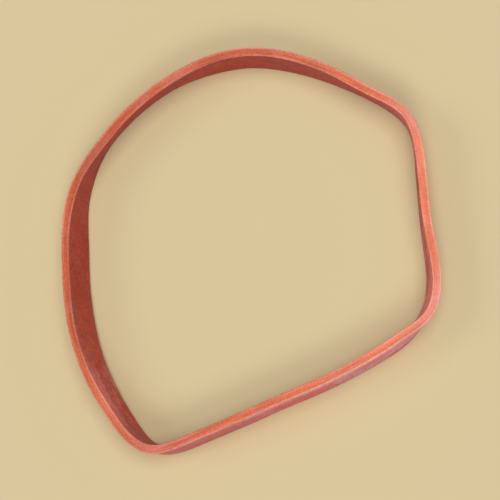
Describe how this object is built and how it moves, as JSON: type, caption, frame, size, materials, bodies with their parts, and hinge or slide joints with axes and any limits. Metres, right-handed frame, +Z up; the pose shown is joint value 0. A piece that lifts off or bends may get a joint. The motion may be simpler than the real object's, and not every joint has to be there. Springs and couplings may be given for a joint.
{
  "type": "rubber band",
  "caption": "Wide, flat ring of red natural rubber that stretches round things to bundle them, standing loosely on its cut edge.",
  "frame": {"origin": "on the surface that the band stands on, under the middle of its box", "axes": "+Z up across the band's width, square to the surface it stands on; +X and +Y run across and along the loop as it lies in the picture, seen from above"},
  "size_m": [0.064, 0.0688, 0.0069],
  "materials": {
    "red_rubber": "matt, lightly talc-dusted, with knife-cut edges"
  },
  "bodies": {
    "root": {"rubber_band": "red_rubber"}
  },
  "joints": []
}
